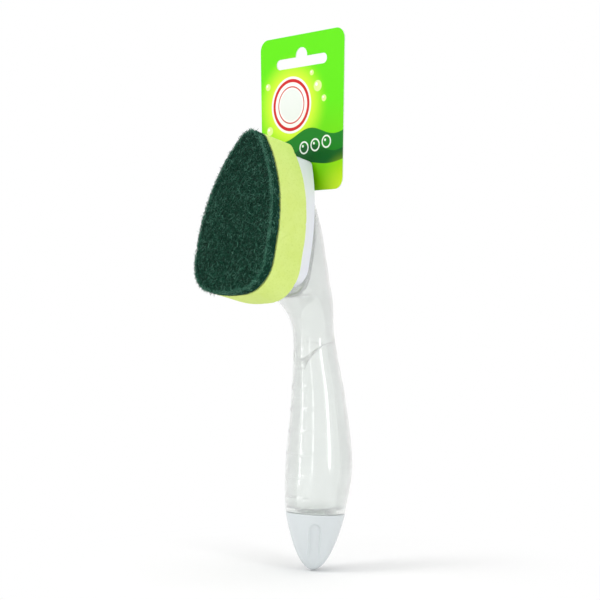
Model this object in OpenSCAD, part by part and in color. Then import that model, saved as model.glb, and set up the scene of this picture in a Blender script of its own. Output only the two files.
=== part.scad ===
// Soap-filled dish wand with a slide-on scrubbing refill, a screw cap and a hang card.
// Millimetres. The origin is the centre of the scrubbing face, +Z runs up along the handle,
// -Y is the side that scrubs and X = 0 is the plane of symmetry.

/* [Scrubbing face] */
// Length of the sponge and pad from heel to tip
sole_len = 88.4; // [80:0.1:96]
// Width of the sponge and pad
sole_w = 56; // [52:0.5:62]
// Height of the widest point above the heel
sole_wide = 30; // [26:0.5:36]
// Radius of the curved heel
sole_heel_r = 80; // [60:1:120]
// Radius of the two heel corners
sole_corner_r = 18.6; // [12:0.1:19]
// Radius of the tip
sole_tip_r = 8.6; // [7.6:0.1:9.2]
// Radius of the blunt end between the tip's two corners
sole_nose_r = 16; // [14:0.5:20]
// Distance of each tip corner's centre from the middle
sole_nose_x = 0.65; // [0.4:0.05:3]
// Thickness of the scouring pad
pad_t = 6.2; // [4:0.1:9]
// Thickness of the sponge
sponge_t = 19.3; // [16:0.1:24]
// Lean of the scrubbing face from the handle, in degrees
head_lean = 12.5; // [8:0.5:16]
// Distance of the face's centre in front of the handle's axis
head_reach = 57.7; // [54:0.1:62]
// Height of the face's centre above the tip of the cap
head_height = 193.2; // [188:0.1:200]

/* [Refill base] */
// Depth of the white base, from the sponge to the head
base_t = 13.5; // [12:0.1:16]
// Width of the base
base_w = 41.4; // [40:0.1:45]
// Radius of the base's heel corners
base_corner_r = 9; // [7:0.5:11]
// How far the base's heel lies inside the sponge's heel
base_heel_gap = 11.5; // [8:0.1:14]
// How far the base's nose lies inside the sponge's tip
base_nose_gap = 6; // [4:0.1:7]
// Radius of the blunt nose
base_nose_r = 30; // [20:1:40]
// Radius of the nose's corners
base_nose_corner_r = 4; // [3:0.1:5]
// Distance of each nose corner's centre from the middle
base_nose_x = 7.2; // [5:0.1:8]
// Width of the sloped edge round the base's back
base_edge = 1.6; // [1:0.1:3]
// Wall of the base
base_wall = 2; // [1.6:0.1:2.6]
// Floor of the base, under the sponge
base_floor = 2; // [1.6:0.1:2.6]
// Radius of the soap hole in the floor
soap_hole_r = 3.5; // [2.5:0.1:4.5]
// Length of the side notches
notch_len = 7; // [4:0.5:10]
// Height of the side notches
notch_h = 4; // [3:0.1:6]
// Place of the side notches along the face, from its centre
notch_y = 2.3; // [-10:0.1:6]

/* [Docking rail] */
// Width of the rail's head
rail_w = 20; // [19:0.1:22]
// Width of the rail's stem
rail_stem_w = 14; // [13.6:0.1:15]
// Thickness of the rail's head
rail_head_t = 2.4; // [2:0.1:3]
// Height of the rail's stem
rail_stem_h = 2.6; // [2.2:0.1:3.4]
// Length of the rail
rail_len = 43; // [36:0.5:48]
// How far the rail starts inside the plate's heel
rail_inset = 2; // [1:0.5:3]
// Sliding clearance between the rail and the base
slide_gap = 0.3; // [0.2:0.05:0.5]
// Gap between the base's back and the plate
dock_gap = 0.2; // [0.1:0.05:0.4]

/* [Head] */
// Thickness of the head's front plate
plate_t = 2.4; // [2:0.1:3]
// How far the head's side lies inside the sponge's side
head_inset = 9.1; // [8:0.1:12]
// How far the plate's heel lies inside the sponge's heel
plate_heel_gap = 6.8; // [5:0.1:9]
// Radius of the plate's heel
plate_heel_r = 40; // [36:1:60]
// Radius of the plate's heel corners
plate_corner_r = 10; // [8:0.5:12]
// Distance of each tip corner's centre from the middle
plate_nose_x = 8; // [7:0.1:9]
// How much narrower the head is at its heel, on each side
heel_narrow = 0.4; // [0:0.1:1]
// Height of the head's tip above the tip of the cap
tip_z = 205.2; // [200:0.1:208]
// Depth of the head at its tip, behind the docking plane
tip_depth = 5.6; // [4.2:0.1:6]
// Height of the ridge's middle above the tip of the cap
ridge_z = 180; // [174:0.5:186]
// Depth of the head at the ridge's middle
ridge_depth = 18.9; // [16:0.1:24]
// Height of the head's heel above the tip of the cap
heel_z = 157; // [154:0.5:160]
// Depth of the head at its heel
heel_depth = 30.8; // [28:0.1:34]
// Height of the curved throat below the heel
throat_h = 23; // [20:0.5:26]
// Distance of the throat's upper end below the heel
throat_drop = 8; // [7:0.5:9]
// How far the throat's curve runs on in front of the docking plane
throat_lap = 3; // [2:0.5:4]
// Distance below the neck where the skin's middle begins to move forward
neck_blend = 6; // [4:0.5:8]
// Wall of the clear mouldings
wall = 1.8; // [1.4:0.1:2.2]

/* [Handle] */
// Radius of the neck at its narrowest
neck_r = 11.2; // [11:0.1:12.5]
// Height of the neck's narrowest point
neck_z = 130; // [128:0.5:132]
// Shift of the neck's centre to the back
neck_shift = -1.8; // [-3:0.1:0]
// Radius of the taper below the neck
taper_r = 14.7; // [14:0.1:16]
// Height of the taper station
taper_z = 95; // [90:1:100]
// Shift of the taper's centre to the back
taper_shift = 1.7; // [0:0.1:3]
// Radius of the grip at its fullest
grip_r = 18.3; // [17.5:0.1:20]
// Height of the fullest point
grip_z = 57; // [52:1:62]
// Shift of the grip's centre to the back
grip_shift = 2.3; // [0:0.1:3.5]
// Radius where the handle meets the cap
seam_r = 16.3; // [16:0.1:17.5]
// Height of the seam, which is also the cap's length
seam_z = 31.4; // [29:0.1:34]
// Shift of the seam's centre to the back
seam_shift = -0.5; // [-1.5:0.1:0.5]
// How far the outline's lowest station lies below the seam
seam_run = 8; // [6:0.5:10]
// How much narrower the outline is at that station
seam_draw = 2; // [1.5:0.1:2.5]
// Height of the reservoir's floor above the seam
floor_rise = 3; // [2.5:0.1:4]
// Number of grip ribs
rib_count = 6; // [3:1:6]
// Distance between the ribs
rib_pitch = 11.9; // [9:0.1:12]
// Height of the lowest rib
rib_z = 40.2; // [39:0.1:44]
// Half of a rib's width
rib_r = 1; // [0.8:0.1:1.6]
// Height of a rib
rib_h = 0.6; // [0.3:0.1:0.9]
// Half of the angle that a rib covers, in degrees
rib_half_angle = 32; // [20:1:45]

/* [Joint of handle and neck] */
// Height of the arched seam's centre
joint_z = 109.7; // [108:0.1:111]
// Radius of the arched seam
joint_arch_r = 14.5; // [14:0.1:15.5]
// Shift of the arched seam's centre to the back
joint_arch_y = 2.5; // [2:0.1:3]
// Radius of the spigot
spigot_r = 8.6; // [8:0.1:9]
// Length of the spigot below the arched seam's centre
spigot_drop = 4; // [3:0.1:8]
// Radius of the soap passage through the spigot
passage_r = 7; // [5:0.1:7.4]
// Clearance round the spigot
spigot_gap = 0.06; // [0.03:0.01:0.1]
// Width of the seam between the two mouldings
seam_gap = 0.2; // [0.1:0.05:0.4]

/* [Cap and filler neck] */
// Lean of the cap's axis from the handle, in degrees
cap_lean = 4; // [0:0.5:6]
// Gap between the cap's rim and the handle
rim_gap = 0.5; // [0.3:0.1:1]
// Outer radius of the filler neck
filler_r = 9.5; // [9:0.1:10]
// Radius of the filler mouth
mouth_r = 7.6; // [7:0.1:8]
// Length of the filler neck below the seam
filler_len = 9.5; // [9:0.1:11]
// Height of the thread ridge
thread_h = 1; // [0.8:0.05:1.1]
// Rise of the thread in one turn
thread_pitch = 4; // [3.5:0.1:4.5]
// Width of the thread ridge at its root
thread_root = 1.8; // [1.4:0.1:2]
// Width of the thread ridge at its crest
thread_crest = 0.8; // [0.5:0.1:1]
// Distance of the thread's upper end from the seam
thread_end = 1.7; // [1.5:0.1:2.5]
// Clearance between the two threads
thread_gap = 0.3; // [0.2:0.05:0.4]
// How far each thread ridge runs into its wall
thread_lap = 0.4; // [0.3:0.05:0.6]
// Exponent of the cap's outline
cap_power = 1.15; // [1.05:0.05:1.4]
// Wall of the cap below its gasket
cap_wall = 2.4; // [1.8:0.1:3]
// Depth of the cap's hollow below its gasket
cap_hollow_len = 8; // [4:0.5:10]
// Number of flutes in the cap
flute_count = 3; // [2:1:4]
// Radius of the flutes
flute_r = 6; // [4:0.1:8]
// Depth of the flutes at their lower ends
flute_depth = 0.6; // [0.3:0.1:1]
// Distance below the seam where the flutes begin
flute_top = 5; // [4:0.5:8]
// Distance below the seam where the flutes end
flute_low = 27; // [24:0.5:28]
// Turn of the first flute from the front, in degrees
flute_turn = 46; // [0:1:90]
// Thickness of the gasket
gasket_t = 1.5; // [1:0.1:2]
// Radius of the gasket's hole
gasket_hole_r = 7; // [6:0.1:7.4]
// Clearance round the gasket
gasket_gap = 0.05; // [0.02:0.01:0.1]

/* [Valve] */
// Radius of the valve disc
valve_r = 5.8; // [5:0.1:6]
// Thickness of the valve disc
valve_t = 1.2; // [0.8:0.1:1.6]
// Radius of the outlet behind the valve
outlet_r = 3.6; // [3:0.1:4]
// Thickness of the retaining ring
ring_t = 1.8; // [1.2:0.1:2.4]
// Radius of the retaining ring's hole
ring_hole_r = 3.6; // [3:0.1:4.2]
// Place of the outlet along the face, from its centre
outlet_y = -14.7; // [-20:0.1:-10]
// Clearance round the valve and its ring
valve_gap = 0.05; // [0.03:0.01:0.1]
// Width of the slits in the valve
slit_w = 0.2; // [0.1:0.05:0.3]

/* [Hang card] */
// Width of the card
card_w = 65.2; // [60:0.1:72]
// Height of the card
card_h = 85.2; // [70:0.5:95]
// Thickness of the card
card_t = 0.5; // [0.3:0.05:0.8]
// How much narrower the card is below, on each side
card_taper = 1.5; // [0:0.1:2]
// Radius of the upper corners
card_top_r = 6; // [3:0.5:12]
// Radius of the lower corners
card_low_r = 6; // [5:0.5:14]
// Width of the hang slot
slot_w = 39; // [33:0.5:44]
// Height of the hang slot
slot_h = 5.6; // [5:0.1:7]
// Radius of the slot's hump
hump_r = 4.4; // [3.5:0.1:5.5]
// Height of the hump's centre above the slot's centre
hump_rise = 3.4; // [2:0.1:4.5]
// Distance of the slot's centre below the card's top
slot_drop = 14.9; // [13:0.1:20]
// Half width of the tongue
tongue_half_w = 7; // [5:0.1:9]
// Length of the tongue that lies behind the base
tongue_len = 11.5; // [8:0.1:14]
// Gap between the base's nose and the card
card_gap = 0.3; // [0.2:0.1:1]
// Clearance between the card's tongue and the base
tongue_gap = 0.15; // [0.1:0.05:0.3]
// Width of the cut beside the tongue
tongue_cut = 0.3; // [0.2:0.1:1]
// Height of the tongue's upper crease above the card's lower edge
fold_rise = 5.9; // [5:0.1:8]
// Rise of the tongue's lower crease above the plate's tip
crease_rise = 1.5; // [1:0.1:2]
// Height of the card's lower edge above the head's tip
card_rest = 0.5; // [0.4:0.1:1]

/* [Hidden] */

// Corners of the clear body's rings, and steps in one turn of the thread
sides = 36;
turn_steps = 24;
// Overlap of joined shapes, reach of a cut past the face it opens, and more than the wand's height
eps = 0.01;
over = 1;
big = 2 * head_height;

// Depths behind the scrubbing face
sponge_back = pad_t + sponge_t;
base_back = sponge_back + base_t;
dock_t = base_back + dock_gap;
shell_t = dock_t + plate_t;
stem_top = dock_t - rail_stem_h;
rail_face = stem_top - rail_head_t;

// Inset of the base's pocket from its outline, and the least radius of a corner
pocket_inset = base_wall + base_edge / 2;
least_r = 0.5;

// Places along the face, from its centre
heel_y = -sole_len / 2;
tip_y = sole_len / 2;
wide_y = heel_y + sole_wide;
base_heel_y = heel_y + base_heel_gap;
base_nose_y = tip_y - base_nose_gap;
plate_half = sole_w / 2 - head_inset;
plate_heel_y = heel_y + plate_heel_gap;
plate_tip_y = face_y(tip_z, dock_t);
rail_top_y = plate_heel_y + rail_len;
stop_y = rail_top_y + slide_gap;

// Cap
cap_bore_r = filler_r + thread_h + thread_gap;
gasket_z = filler_len + 2 * gasket_gap;
cap_seat = gasket_z + gasket_t;
thread_turns = (filler_len - thread_root - thread_end) / thread_pitch;
cap_hollow_r = cap_r(cap_seat + cap_hollow_len) - flute_depth - cap_wall;

// Card
card_front_y = face_point(base_nose_y, base_back)[0] + card_gap;
card_low_z = tip_z + card_rest;
tongue_front = base_back - tongue_gap - card_t;
tongue_bed = tongue_front - tongue_gap;
crease_y = plate_tip_y + crease_rise;

// Side view of a point on the face, at height y along it and depth t
function face_point(y, t) = [
    -head_reach + y * sin(head_lean) + t * cos(head_lean),
    head_height + y * cos(head_lean) - t * sin(head_lean)
];
// Height along the face of a point at height z and depth t, and the plane's Y there
function face_y(z, t) = (z - head_height + t * sin(head_lean)) / cos(head_lean);
function plane_y(z, t) = -head_reach + (z - head_height) * tan(head_lean) + t / cos(head_lean);

// Smooth curve through stations [z, value]
function slope(s, i) =
    let (a = max(i - 1, 0), b = min(i + 1, len(s) - 1))
    (s[b][1] - s[a][1]) / (s[b][0] - s[a][0]);
function span(s, z, i = 0) = i >= len(s) - 2 || z < s[i + 1][0] ? i : span(s, z, i + 1);
function through(s, z) =
    let (i = span(s, z), h = s[i + 1][0] - s[i][0], t = (z - s[i][0]) / h)
    (2 * t ^ 3 - 3 * t ^ 2 + 1) * s[i][1] + (t ^ 3 - 2 * t ^ 2 + t) * h * slope(s, i)
    + (3 * t ^ 2 - 2 * t ^ 3) * s[i + 1][1] + (t ^ 3 - t ^ 2) * h * slope(s, i + 1);

// Depth of the spigot's axis
joint_y = (neck_shift + taper_shift) / 2;

// Curved side of the plate
plate_corner_c = [plate_nose_x, corner_y(plate_tip_y, base_nose_r, base_nose_corner_r, plate_nose_x)];
plate_side_r = side_radius(plate_half, wide_y, plate_corner_c, base_nose_corner_r);
function side_x(y) = plate_half - plate_side_r + sqrt(plate_side_r ^ 2 - max(y - wide_y, 0) ^ 2);

// Side view of the clear body
low_z = seam_z - seam_run;
low_r = seam_r - seam_draw;
back_line = [
    [low_z, seam_shift + low_r],
    [seam_z, seam_shift + seam_r],
    [grip_z, grip_shift + grip_r],
    [taper_z, taper_shift + taper_r],
    [neck_z, neck_shift + neck_r],
    [heel_z, plane_y(heel_z, dock_t) + heel_depth],
    [ridge_z, plane_y(ridge_z, dock_t) + ridge_depth],
    [tip_z, plane_y(tip_z, dock_t) + tip_depth]
];
front_line = [
    [low_z, seam_shift - low_r],
    [seam_z, seam_shift - seam_r],
    [grip_z, grip_shift - grip_r],
    [taper_z, taper_shift - taper_r],
    [neck_z, neck_shift - neck_r]
];
width_line = [
    [low_z, low_r],
    [seam_z, seam_r],
    [grip_z, grip_r],
    [taper_z, taper_r],
    [neck_z, neck_r],
    [heel_z, plate_half - heel_narrow],
    [ridge_z, side_x(face_y(ridge_z, shell_t))]
];
throat_top = heel_z - throat_drop;
throat_low = throat_top - throat_h;
throat_depth = neck_shift - neck_r - plane_y(throat_top, dock_t) + throat_lap;

function back_at(z) = through(back_line, z);
function front_at(z) =
    z < throat_low ? through(front_line, z)
    : let (s = min((z - throat_low) / throat_h, 1))
      through(front_line, min(z, neck_z)) - throat_depth * (1 - sqrt(1 - s ^ 2));
function width_at(z) = z < ridge_z ? through(width_line, z) : side_x(face_y(z, shell_t));
function middle_at(z) =
    let (round_mid = (back_at(min(z, neck_z)) + front_at(min(z, neck_z))) / 2,
         s = max(min((z - neck_z + neck_blend) / (heel_z - neck_z + neck_blend), 1), 0))
    round_mid + (plane_y(z, dock_t) - round_mid) * s ^ 3;

// One ring of the clear body at height z, inside its skin by inset, or with a rib across its front
function ring(z, inset = 0, rib = 0) =
    let (x = width_at(z) - inset,
         m = middle_at(z),
         b = back_at(z) - m - inset,
         f = m - front_at(z - inset) - inset)
    [for (k = [0:sides - 1])
        let (a = -360 * k / sides, r = abs(a + 180) < rib_half_angle ? rib : 0)
        [(x + r) * sin(a), m + (cos(a) > 0 ? b : f + r) * cos(a), z]];
function steps(from, to, n) = [for (i = [0:n]) from + (to - from) * i / n];

module skin(rings) {
    n = len(rings[0]);
    last = len(rings) - 1;
    polyhedron(
        points = [for (r = rings) each r],
        faces = concat(
            [[for (k = [0:n - 1]) k]],
            [[for (k = [n - 1:-1:0]) last * n + k]],
            [for (i = [0:last - 1], k = [0:n - 1])
                let (a = i * n + k, b = i * n + (k + 1) % n)
                each [[a, b + n, b], [a, a + n, b + n]]]
        ),
        convexity = 6
    );
}

// Outline of tangent arcs: heel, heel corner, straight and curved side, nose corner and nose
function arc(c, r, from, to, n, first = 1) =
    [for (i = [first:n])
        let (a = from + (to - from) * i / n)
        [c[0] + r * cos(a), c[1] + r * sin(a)]];
function angle_to(a, b) = atan2(b[1] - a[1], b[0] - a[0]);
// Height of a nose corner's centre, and the radius of the side that runs from the widest point into it
function corner_y(nose, nose_r, r, x) = nose - nose_r + sqrt((nose_r - r) ^ 2 - x ^ 2);
function side_radius(half, wide, c, r) =
    ((half - c[0]) ^ 2 + (c[1] - wide) ^ 2 - r ^ 2) / (2 * (half - c[0] - r));
function outline(half, heel, heel_r, corner_r, wide, nose_corner_r, nose_x, nose_r, nose) =
    let (heel_c = [0, heel + heel_r],
         corner_x = half - corner_r,
         corner_c = [corner_x, heel_c[1] - sqrt((heel_r - corner_r) ^ 2 - corner_x ^ 2)],
         nose_c = [0, nose - nose_r],
         nose_corner_c = [nose_x, corner_y(nose, nose_r, nose_corner_r, nose_x)],
         side_r = side_radius(half, wide, nose_corner_c, nose_corner_r),
         side_c = [half - side_r, wide],
         heel_a = angle_to(heel_c, corner_c),
         side_a = angle_to(side_c, nose_corner_c),
         nose_a = angle_to(nose_c, nose_corner_c),
         right = concat(
             arc(heel_c, heel_r, -90, heel_a, 4, 0),
             arc(corner_c, corner_r, heel_a, 0, 7),
             arc(side_c, side_r, 0, side_a, 8, 0),
             arc(nose_corner_c, nose_corner_r, side_a, nose_a, 6),
             arc(nose_c, nose_r, nose_a, 90, 4)))
    concat(right, [for (i = [len(right) - 2:-1:1]) [-right[i][0], right[i][1]]]);

sole_points = outline(sole_w / 2, heel_y, sole_heel_r, sole_corner_r, wide_y, sole_tip_r, sole_nose_x,
    sole_nose_r, tip_y);
function base_points(inset) = outline(base_w / 2 - inset, base_heel_y + inset, sole_heel_r - inset,
    base_corner_r - inset, wide_y, max(base_nose_corner_r - inset, least_r), base_nose_x,
    base_nose_r - inset, base_nose_y - inset);
plate_points = outline(plate_half, plate_heel_y, plate_heel_r, plate_corner_r, wide_y,
    base_nose_corner_r, plate_nose_x, base_nose_r, plate_tip_y);

// Frames: the whole wand, the scrubbing face and the cap
module placed() {
    translate([0, head_reach, -head_height]) children();
}
module on_face() {
    translate([0, -head_reach, head_height]) rotate([90 - head_lean, 0, 0]) children();
}
module at_cap() {
    translate([0, seam_shift, seam_z]) rotate([-cap_lean, 0, 0]) children();
}
// A slab between two depths behind the face
module slab(from, to) {
    translate([0, 0, -to]) linear_extrude(to - from) children();
}
module slab_box(x, y0, y1, from, to) {
    translate([-x / 2, y0, -to]) cube([x, y1 - y0, to - from]);
}

module below_arch(gap = 0) {
    translate([-big / 2, -big / 2, joint_z - gap - big]) cube([big, big, big]);
    translate([-big / 2, joint_arch_y, joint_z]) rotate([0, 90, 0])
        cylinder(r = joint_arch_r + gap, h = big, $fn = 96);
}

// A thread ridge with its root at one radius and its crest at the other
module ridge(r_root, r_crest, turns, start) {
    n = round(turns * turn_steps);
    low = r_root > r_crest ? -1 : 1;
    skin([for (i = [0:n])
        let (a = start + 360 * i / turn_steps, z = -filler_len + thread_root + thread_pitch * i / turn_steps)
        [for (p = [[r_root, low * thread_root / 2], [r_crest, low * thread_crest / 2],
                   [r_crest, -low * thread_crest / 2], [r_root, -low * thread_root / 2]])
            [p[0] * cos(a), p[0] * sin(a), z + p[1]]]]);
}

module soap_handle() color([0.93, 0.96, 0.95, 0.4]) placed() {
    cavity_z = joint_z - spigot_drop - over;
    difference() {
        union() {
            intersection() {
                skin(concat(
                    [for (z = steps(low_z, rib_z - rib_pitch / 2, 2)) ring(z)],
                    [for (i = [0:rib_count - 1]) let (z = rib_z + i * rib_pitch)
                        each [ring(z - rib_r), ring(z, 0, rib_h), ring(z + rib_r), ring(z + rib_pitch / 2)]],
                    [for (z = steps(rib_z + rib_count * rib_pitch, neck_z, 5)) ring(z)]));
                below_arch();
                at_cap() translate([-big / 2, -big / 2, 0]) cube([big, big, big]);
            }
            at_cap() translate([0, 0, -filler_len]) cylinder(r = filler_r, h = filler_len + wall, $fn = 96);
            at_cap() ridge(filler_r - thread_lap, filler_r + thread_h, thread_turns, 0);
        }
        skin([for (z = steps(seam_z + floor_rise, cavity_z, 16)) ring(z, wall)]);
        at_cap() translate([0, 0, -filler_len - over])
            cylinder(r = mouth_r, h = filler_len + 2 * floor_rise, $fn = 96);
        translate([0, joint_y, cavity_z - over])
            cylinder(r = spigot_r + spigot_gap, h = spigot_drop + 2 * joint_arch_r, $fn = 96);
    }
}

module neck_shell() color([0.93, 0.96, 0.95, 0.4]) placed() {
    passage_top = joint_z + joint_arch_r + wall + over;
    difference() {
        union() {
            difference() {
                skin([for (z = steps(joint_z - joint_arch_r / 2, tip_z, 30)) ring(z)]);
                below_arch(seam_gap);
            }
            translate([0, joint_y, joint_z - spigot_drop])
                cylinder(r = spigot_r, h = spigot_drop + joint_arch_r + wall, $fn = 96);
        }
        skin([for (z = steps(passage_top, tip_z - 3 * wall, 22)) ring(z, wall)]);
        translate([0, joint_y, joint_z - spigot_drop - over])
            cylinder(r = passage_r, h = passage_top - joint_z + spigot_drop + 2 * over, $fn = 96);
        on_face() translate([-big / 2, -big / 2, -shell_t]) cube([big, big, big]);
    }
}

module outlet() {
    translate([0, outlet_y, -shell_t - over]) cylinder(r = outlet_r, h = shell_t, $fn = 64);
}

module head_plate() color([0.93, 0.96, 0.95, 0.4]) placed() on_face() difference() {
    slab(dock_t, shell_t) polygon(plate_points);
    outlet();
}

// The rail stands on the plate, and holds the valve's seat
module dock_rail() color([0.93, 0.96, 0.95, 0.4]) placed() on_face() difference() {
    union() {
        slab_box(rail_stem_w, plate_heel_y + rail_inset, rail_top_y, stem_top, dock_t);
        slab_box(rail_w, plate_heel_y + rail_inset, rail_top_y, rail_face, stem_top);
    }
    outlet();
    translate([0, outlet_y, -rail_face - ring_t - valve_t])
        cylinder(r = valve_r + valve_gap, h = ring_t + valve_t + over, $fn = 64);
}

module outlet_valve() color("whitesmoke") placed() on_face()
    translate([0, outlet_y, -rail_face - ring_t - valve_t]) difference() {
        cylinder(r = valve_r, h = valve_t, $fn = 64);
        for (turn = [0, 90]) rotate([0, 0, turn])
            translate([-outlet_r, -slit_w / 2, -over]) cube([2 * outlet_r, slit_w, valve_t + 2 * over]);
    }

module valve_ring() color("white") placed() on_face()
    translate([0, outlet_y, -rail_face - ring_t]) difference() {
        cylinder(r = valve_r, h = ring_t, $fn = 64);
        translate([0, 0, -over]) cylinder(r = ring_hole_r, h = ring_t + 2 * over, $fn = 64);
    }

function cap_r(depth) = seam_r * sqrt(max(1 - (depth / seam_z) ^ cap_power, 0));
module end_cap() color("gainsboro") placed() at_cap() {
    depths = concat(
        steps(rim_gap, 0.87 * seam_z, 13),
        [for (k = [0.1, 0.07, 0.04, 0.02, 0.006, 0]) seam_z * (1 - k)]);
    flute_a = atan2(cap_r(flute_top) - cap_r(flute_low), flute_low - flute_top);
    difference() {
        rotate_extrude($fn = 96)
            polygon(concat([[0, -rim_gap]], [for (d = depths) [cap_r(d), -d]]));
        translate([0, 0, -cap_seat]) cylinder(r = cap_bore_r, h = cap_seat + over, $fn = 96);
        translate([0, 0, -cap_seat - cap_hollow_len])
            cylinder(r1 = cap_hollow_r, r2 = mouth_r, h = cap_hollow_len + eps, $fn = 96);
        for (k = [0:flute_count - 1]) rotate([0, 0, flute_turn - 90 + 360 * k / flute_count])
            translate([cap_r(flute_low) + flute_r - flute_depth, 0, -flute_low])
                rotate([0, flute_a, 0]) translate([0, 0, -seam_z / 4])
                    cylinder(r = flute_r, h = seam_z * 5 / 4, $fn = 64);
    }
    ridge(cap_bore_r + thread_lap, filler_r + thread_gap, thread_turns, 180);
}

module cap_gasket() color("silver") placed() at_cap()
    translate([0, 0, -cap_seat + gasket_gap]) difference() {
        cylinder(r = cap_bore_r - gasket_gap, h = gasket_t, $fn = 96);
        translate([0, 0, -over]) cylinder(r = gasket_hole_r, h = gasket_t + 2 * over, $fn = 96);
    }

module refill_base() color("white") placed() on_face() {
    rail_side = rail_w / 2 + slide_gap;
    lip_side = rail_stem_w / 2 + slide_gap;
    difference() {
        union() {
            difference() {
                hull() {
                    slab(sponge_back, base_back - base_edge) polygon(base_points(0));
                    slab(base_back - base_edge, base_back) polygon(base_points(base_edge));
                }
                slab(sponge_back + base_floor, base_back + over) polygon(base_points(pocket_inset));
            }
            for (side = [-1, 1]) {
                translate([side * (rail_side + base_wall / 2), 0, 0])
                    slab_box(base_wall, base_heel_y + over, stop_y + base_wall, sponge_back + over,
                        base_back);
                translate([side * (rail_side + lip_side) / 2, 0, 0])
                    slab_box(rail_side - lip_side + over, base_heel_y + over, stop_y, stem_top + slide_gap,
                        base_back);
            }
            slab_box(2 * (rail_side + over), stop_y, stop_y + base_wall, sponge_back + over, base_back);
            slab_box(2 * (tongue_half_w + tongue_cut), stop_y + over, crease_y + base_wall,
                sponge_back + over, tongue_bed);
            translate([0, outlet_y, -rail_face + slide_gap])
                cylinder(r = soap_hole_r + base_wall, h = rail_face - sponge_back - slide_gap - over,
                    $fn = 64);
        }
        slab_box(2 * rail_side, base_heel_y - over, stop_y, rail_face - slide_gap, stem_top + slide_gap);
        slab_box(2 * lip_side, base_heel_y - over, stop_y, rail_face - slide_gap, base_back + over);
        slab_box(2 * (tongue_half_w + tongue_cut), crease_y, tip_y, tongue_bed, base_back + over);
        translate([0, outlet_y, -base_back - over]) cylinder(r = soap_hole_r, h = base_back, $fn = 64);
        for (side = [-1, 1])
            translate([side * base_w / 2, notch_y, -sponge_back - base_floor - notch_h / 2])
                cube([base_wall, notch_len, notch_h], center = true);
    }
}

module sponge() color("yellowgreen") placed() on_face() slab(pad_t, sponge_back) polygon(sole_points);

module scour_pad() color("darkgreen") placed() on_face() slab(0, pad_t) polygon(sole_points);

module card_outline() {
    top = card_low_z + card_h;
    low_half = card_w / 2 - card_taper;
    hull() {
        for (side = [-1, 1]) {
            translate([side * (card_w / 2 - card_top_r), top - card_top_r]) circle(r = card_top_r, $fn = 48);
            translate([side * (low_half - card_low_r), card_low_z + card_low_r])
                circle(r = card_low_r, $fn = 48);
        }
    }
}
// The tongue, seen from the side: down from the card, forward to the base and down behind it
module tongue() {
    fold_z = card_low_z + fold_rise;
    low_y = plate_tip_y - tongue_len;
    back = tongue_front + card_t;
    rotate([90, 0, 90]) translate([0, 0, -tongue_half_w]) linear_extrude(2 * tongue_half_w) polygon([
        face_point(low_y, tongue_front),
        face_point(crease_y, tongue_front),
        [card_front_y, fold_z + card_t],
        [card_front_y, fold_z + 3 * card_t],
        [card_front_y + card_t, fold_z + 3 * card_t],
        [card_front_y + card_t, fold_z],
        face_point(crease_y - card_t / 2, back),
        face_point(low_y, back)
    ]);
}

module hang_card() color("lawngreen") placed() {
    tongue();
    translate([0, card_front_y + card_t, 0]) rotate([90, 0, 0]) linear_extrude(card_t) difference() {
        card_outline();
        translate([0, card_low_z + card_h - slot_drop]) {
            square([slot_w - slot_h, slot_h], center = true);
            for (side = [-1, 1])
                translate([side * (slot_w - slot_h) / 2, 0]) circle(r = slot_h / 2, $fn = 48);
            translate([0, hump_rise]) circle(r = hump_r, $fn = 48);
        }
        translate([-tongue_half_w - tongue_cut, card_low_z - over])
            square([2 * (tongue_half_w + tongue_cut), fold_rise + over]);
    }
}

soap_handle();
neck_shell();
head_plate();
dock_rail();
outlet_valve();
valve_ring();
end_cap();
cap_gasket();
refill_base();
sponge();
scour_pad();
hang_card();
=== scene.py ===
"""Looks of the dish wand. Sizes are in millimetres in the wand's own frame, where the handle's axis is
X = Y = 0 and the tip of the cap is Z = 0, and place() turns them into the frame's metres."""
import bpy
import bmesh
import math
import random
import numpy as np
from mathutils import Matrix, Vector, noise


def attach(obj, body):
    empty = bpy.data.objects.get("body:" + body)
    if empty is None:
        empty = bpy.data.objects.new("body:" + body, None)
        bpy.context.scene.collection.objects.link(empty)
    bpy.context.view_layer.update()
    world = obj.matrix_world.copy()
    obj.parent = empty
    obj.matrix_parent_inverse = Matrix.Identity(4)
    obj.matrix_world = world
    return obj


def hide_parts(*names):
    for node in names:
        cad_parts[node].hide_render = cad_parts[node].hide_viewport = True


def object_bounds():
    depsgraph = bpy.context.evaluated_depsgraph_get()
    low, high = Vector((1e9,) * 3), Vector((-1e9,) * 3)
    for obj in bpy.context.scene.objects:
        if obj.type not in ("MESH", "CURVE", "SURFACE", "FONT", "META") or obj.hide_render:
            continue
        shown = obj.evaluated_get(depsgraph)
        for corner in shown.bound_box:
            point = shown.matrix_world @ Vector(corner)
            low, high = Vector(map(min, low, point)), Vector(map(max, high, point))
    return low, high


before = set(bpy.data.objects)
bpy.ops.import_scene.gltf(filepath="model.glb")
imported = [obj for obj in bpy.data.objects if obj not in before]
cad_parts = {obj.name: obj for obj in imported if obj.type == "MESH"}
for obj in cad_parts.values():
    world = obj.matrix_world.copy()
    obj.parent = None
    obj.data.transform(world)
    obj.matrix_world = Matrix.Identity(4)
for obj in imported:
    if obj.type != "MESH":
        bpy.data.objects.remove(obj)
cad_box = [list(corner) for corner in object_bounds()]

# ---------------------------------------------------------------- the wand's sizes
# Centre of the scrubbing face and its lean, and depths behind that face
HEAD_REACH, HEAD_HEIGHT, HEAD_LEAN = 57.7, 193.2, math.radians(12.5)
SIN, COS = math.sin(HEAD_LEAN), math.cos(HEAD_LEAN)
PAD_T, SPONGE_BACK, DOCK_T, SHELL_T = 6.2, 25.5, 39.2, 41.6
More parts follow.
